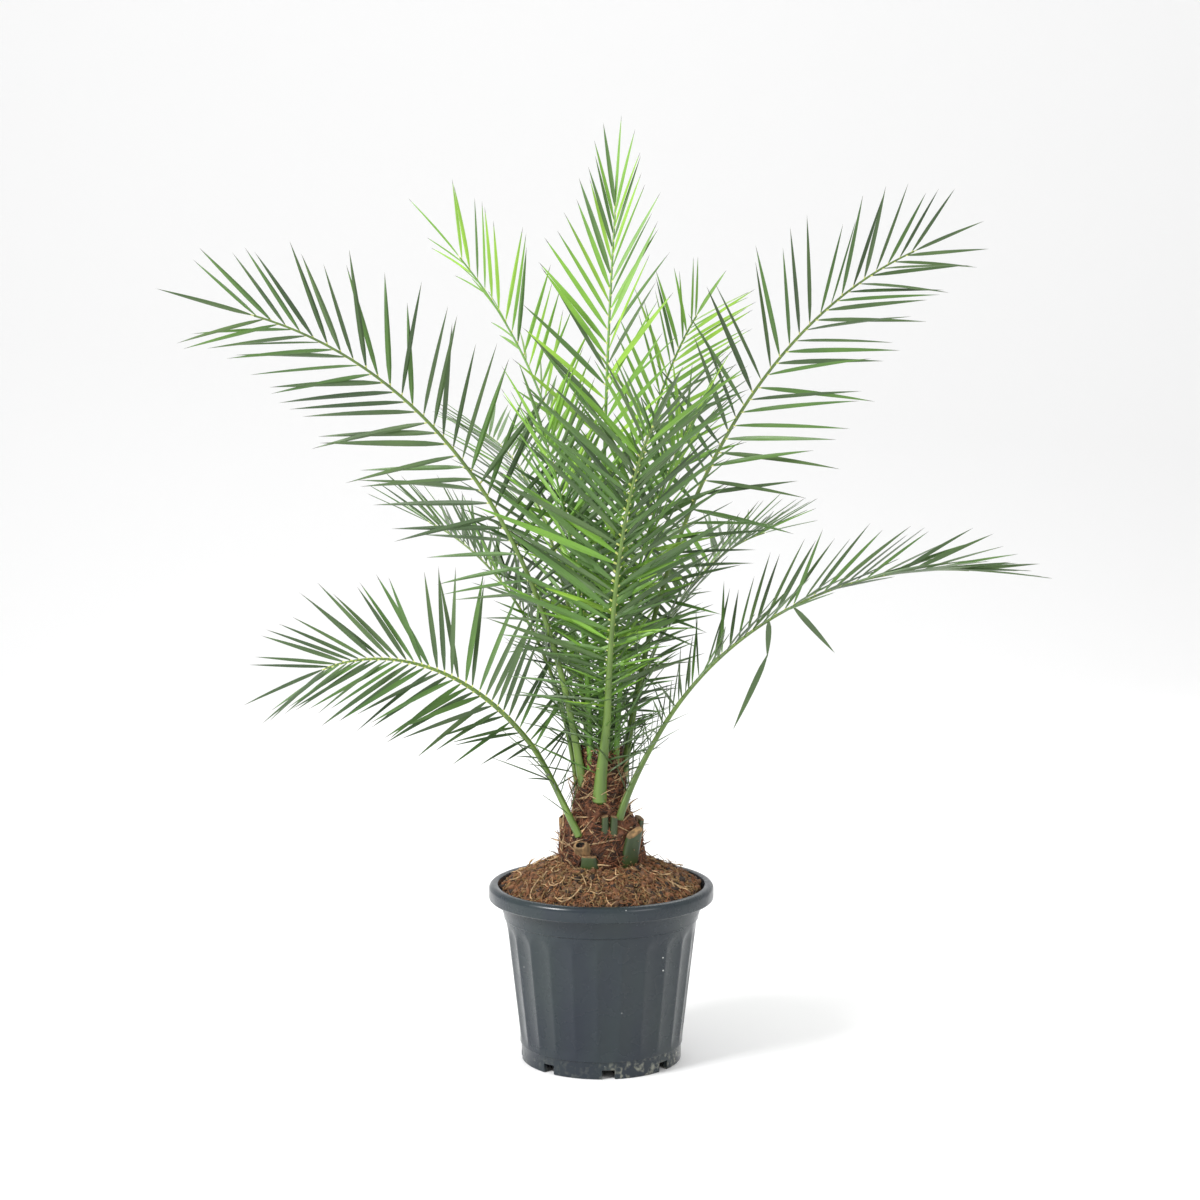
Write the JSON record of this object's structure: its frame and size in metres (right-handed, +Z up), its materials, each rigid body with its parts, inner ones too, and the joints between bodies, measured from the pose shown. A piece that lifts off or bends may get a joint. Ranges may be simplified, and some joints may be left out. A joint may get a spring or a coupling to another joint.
{
  "type": "potted canary island date palm",
  "caption": "Young feather palm in a round nursery pot: a short fibrous trunk stands in heaped soil and carries a full crown of arching fronds with narrow folded leaflets.",
  "frame": {"origin": "centre of the pot's flat underside, on the surface that the pot stands on", "axes": "+Z up the trunk, -Y towards the front of the plant, +X to its right as seen from the front"},
  "size_m": [1.3064, 1.1596, 1.4972],
  "materials": {
    "pot": "satin slate-grey moulded plastic with scuffs",
    "soil": "loose brown peat and coconut fibre",
    "trunk": "matted red-brown fibre with cut leaf feet",
    "leaf": "satin dark green leaf",
    "young_leaf": "satin bright green leaf"
  },
  "bodies": {
    "root": {"pot": "pot", "soil": "soil", "trunk": "trunk", "frond_left_high_near": "leaf", "frond_left_high_far": "leaf", "frond_right_high_near": "leaf", "frond_right_high_far": "leaf", "frond_right_low_near": "leaf", "frond_right_low_far": "leaf", "frond_left_low_near": "leaf", "frond_left_low_far": "leaf", "frond_back_low_near": "leaf", "frond_back_low_far": "leaf", "frond_centre": "young_leaf", "frond_back_left": "young_leaf", "frond_back_right": "young_leaf", "frond_front": "leaf", "frond_left_mid": "leaf", "frond_right_mid": "leaf", "frond_back_mid": "leaf", "frond_front_right": "young_leaf", "frond_front_left": "young_leaf"}
  },
  "joints": []
}
